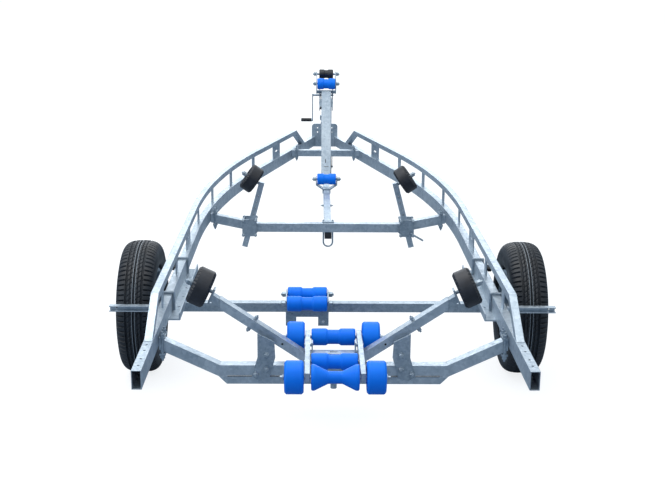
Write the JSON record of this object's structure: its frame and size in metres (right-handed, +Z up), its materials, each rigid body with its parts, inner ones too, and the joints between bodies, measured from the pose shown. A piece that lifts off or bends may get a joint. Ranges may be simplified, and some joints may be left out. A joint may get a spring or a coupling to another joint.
{
  "type": "boat trailer",
  "caption": "Galvanised single-axle roller trailer for a boat, with a tilting rear cradle, side rollers, winch post and jockey wheel.",
  "frame": {"origin": "centre of the bounding box on the floor; X = 0 is the frame's plane of symmetry", "axes": "+X right, +Y forward towards the coupling, +Z up; the trailer stands level on its tyres and jockey wheel"},
  "size_m": [2.0606, 6.46, 1.1184],
  "materials": {
    "galvanised": "galvanised",
    "galvanised_fittings": "galvanised, duller",
    "blue_roller": "satin polyurethane",
    "black_roller": "moulded rubber",
    "tyre": "road tread",
    "black_cap": "matt"
  },
  "bodies": {
    "frame": {"rail_left": "galvanised", "rail_right": "galvanised", "guard_rail_left": "galvanised", "guard_rail_right": "galvanised", "rear_crossbeam": "galvanised", "rear_stiffener": "galvanised", "front_crossbeam": "galvanised", "nose_crossbeam": "galvanised", "nose_bracket": "galvanised_fittings", "drawbar": "galvanised", "drawbar_cap": "black_cap", "drawbar_ubolt": "galvanised_fittings", "coupling_head": "galvanised_fittings", "coupling_handle": "galvanised_fittings", "axle_beam": "galvanised_fittings", "axle_plates": "galvanised", "axle_ubolts": "galvanised_fittings", "beam_clamps": "galvanised_fittings", "mudguard_stays": "galvanised", "winch_post": "galvanised", "winch_frame": "galvanised_fittings", "bow_bracket": "galvanised_fittings", "front_keel_bracket": "galvanised_fittings", "side_post_left": "galvanised", "side_post_right": "galvanised", "side_post_clamps": "galvanised_fittings", "mid_keel_bracket": "galvanised_fittings", "v_beam": "galvanised", "v_beam_brackets": "galvanised_fittings", "arm_extension_left": "galvanised_fittings", "arm_extension_right": "galvanised_fittings", "jockey_clamp": "galvanised_fittings", "jockey_tube": "galvanised"},
    "wheel_left": {"wheel_rim_left": "galvanised_fittings", "tyre_left": "tyre"},
    "wheel_right": {"wheel_rim_right": "galvanised_fittings", "tyre_right": "tyre"},
    "cradle": {"cradle_frame": "galvanised"},
    "cradle_wheel_front_left": {"cradle_wheel_front_left": "blue_roller"},
    "cradle_wheel_front_right": {"cradle_wheel_front_right": "blue_roller"},
    "cradle_wheel_rear_left": {"cradle_wheel_rear_left": "blue_roller"},
    "cradle_wheel_rear_right": {"cradle_wheel_rear_right": "blue_roller"},
    "cradle_roller_front": {"cradle_roller_front": "blue_roller"},
    "cradle_roller_middle": {"cradle_roller_middle": "blue_roller"},
    "cradle_roller_rear": {"cradle_roller_rear": "blue_roller"},
    "mid_roller_front": {"mid_roller_front": "blue_roller"},
    "mid_roller_rear": {"mid_roller_rear": "blue_roller"},
    "front_keel_roller": {"front_keel_roller": "blue_roller"},
    "bow_roller": {"bow_roller": "blue_roller"},
    "bow_stop_roller": {"bow_stop_roller": "black_roller"},
    "front_side_roller_left": {"front_side_roller_left": "black_roller"},
    "front_side_roller_right": {"front_side_roller_right": "black_roller"},
    "rear_side_roller_left": {"rear_side_roller_left": "black_roller"},
    "rear_side_roller_right": {"rear_side_roller_right": "black_roller"},
    "winch_drum": {"winch_drum": "galvanised_fittings"},
    "winch_crank": {"winch_crank": "galvanised_fittings"},
    "jockey_leg": {"jockey_leg": "galvanised_fittings"},
    "jockey_fork": {"jockey_fork": "galvanised_fittings"},
    "jockey_wheel": {"jockey_wheel": "black_roller"}
  },
  "joints": [
    {"name": "wheel_left_spin", "type": "hinge", "parent": "frame", "child": "wheel_left", "pos_m": [-0.931, -2.09, 0.325], "axis": [1, 0, 0], "continuous": true},
    {"name": "wheel_right_spin", "type": "hinge", "parent": "frame", "child": "wheel_right", "pos_m": [0.931, -2.09, 0.325], "axis": [1, 0, 0], "continuous": true},
    {"name": "cradle_tilt", "type": "hinge", "parent": "frame", "child": "cradle", "pos_m": [0, -2.675, 0.34], "axis": [1, 0, 0], "range_deg": [-12, 12]},
    {"name": "cradle_wheel_front_left_spin", "type": "hinge", "parent": "cradle", "child": "cradle_wheel_front_left", "pos_m": [-0.17, -2.55, 0.332], "axis": [1, 0, 0], "continuous": true},
    {"name": "cradle_wheel_front_right_spin", "type": "hinge", "parent": "cradle", "child": "cradle_wheel_front_right", "pos_m": [0.17, -2.55, 0.332], "axis": [1, 0, 0], "continuous": true},
    {"name": "cradle_wheel_rear_left_spin", "type": "hinge", "parent": "cradle", "child": "cradle_wheel_rear_left", "pos_m": [-0.17, -3.038, 0.332], "axis": [1, 0, 0], "continuous": true},
    {"name": "cradle_wheel_rear_right_spin", "type": "hinge", "parent": "cradle", "child": "cradle_wheel_rear_right", "pos_m": [0.17, -3.038, 0.332], "axis": [1, 0, 0], "continuous": true},
    {"name": "cradle_roller_front_spin", "type": "hinge", "parent": "cradle", "child": "cradle_roller_front", "pos_m": [0, -2.55, 0.332], "axis": [1, 0, 0], "continuous": true},
    {"name": "cradle_roller_middle_spin", "type": "hinge", "parent": "cradle", "child": "cradle_roller_middle", "pos_m": [0, -2.86, 0.332], "axis": [1, 0, 0], "continuous": true},
    {"name": "cradle_roller_rear_spin", "type": "hinge", "parent": "cradle", "child": "cradle_roller_rear", "pos_m": [0, -3.038, 0.332], "axis": [1, 0, 0], "continuous": true},
    {"name": "mid_roller_front_spin", "type": "hinge", "parent": "frame", "child": "mid_roller_front", "pos_m": [-0.122, -2.012, 0.362], "axis": [1, 0, 0], "continuous": true},
    {"name": "mid_roller_rear_spin", "type": "hinge", "parent": "frame", "child": "mid_roller_rear", "pos_m": [-0.122, -2.162, 0.362], "axis": [1, 0, 0], "continuous": true},
    {"name": "front_keel_roller_spin", "type": "hinge", "parent": "frame", "child": "front_keel_roller", "pos_m": [0, 0.58666, 0.40915], "axis": [1, 0, 0], "continuous": true},
    {"name": "bow_roller_spin", "type": "hinge", "parent": "frame", "child": "bow_roller", "pos_m": [0, 1.24404, 1.02076], "axis": [1, 0, 0], "continuous": true},
    {"name": "bow_stop_roller_spin", "type": "hinge", "parent": "frame", "child": "bow_stop_roller", "pos_m": [0, 1.36253, 1.08237], "axis": [1, 0, 0], "continuous": true},
    {"name": "front_side_roller_left_spin", "type": "hinge", "parent": "frame", "child": "front_side_roller_left", "pos_m": [-0.4811, -0.5078, 0.63784], "axis": [-0.8192, 0, 0.5736], "continuous": true},
    {"name": "front_side_roller_right_spin", "type": "hinge", "parent": "frame", "child": "front_side_roller_right", "pos_m": [0.4811, -0.5078, 0.63784], "axis": [0.8192, 0, 0.5736], "continuous": true},
    {"name": "rear_side_roller_left_spin", "type": "hinge", "parent": "frame", "child": "rear_side_roller_left", "pos_m": [-0.58257, -2.675, 0.60732], "axis": [-0.9063, 0, 0.4226], "continuous": true},
    {"name": "rear_side_roller_right_spin", "type": "hinge", "parent": "frame", "child": "rear_side_roller_right", "pos_m": [0.58257, -2.675, 0.60732], "axis": [0.9063, 0, 0.4226], "continuous": true},
    {"name": "winch_drum_spin", "type": "hinge", "parent": "frame", "child": "winch_drum", "pos_m": [0, 1.33085, 0.86442], "axis": [1, 0, 0], "continuous": true},
    {"name": "winch_crank_turn", "type": "hinge", "parent": "frame", "child": "winch_crank", "pos_m": [0, 1.3543, 0.91965], "axis": [1, 0, 0], "continuous": true},
    {"name": "jockey_leg_slide", "type": "slide", "parent": "frame", "child": "jockey_leg", "axis": [0, 0, 1], "range_m": [-0.15, 0.1]},
    {"name": "jockey_swivel", "type": "hinge", "parent": "jockey_leg", "child": "jockey_fork", "pos_m": [0.046, 2.67, 0.21], "axis": [0, 0, 1], "continuous": true},
    {"name": "jockey_wheel_spin", "type": "hinge", "parent": "jockey_fork", "child": "jockey_wheel", "pos_m": [0.046, 2.635, 0.1], "axis": [1, 0, 0], "continuous": true}
  ],
  "couplings": [
    {"joint": "winch_crank_turn", "follows": "winch_drum_spin", "ratio": -4}
  ]
}
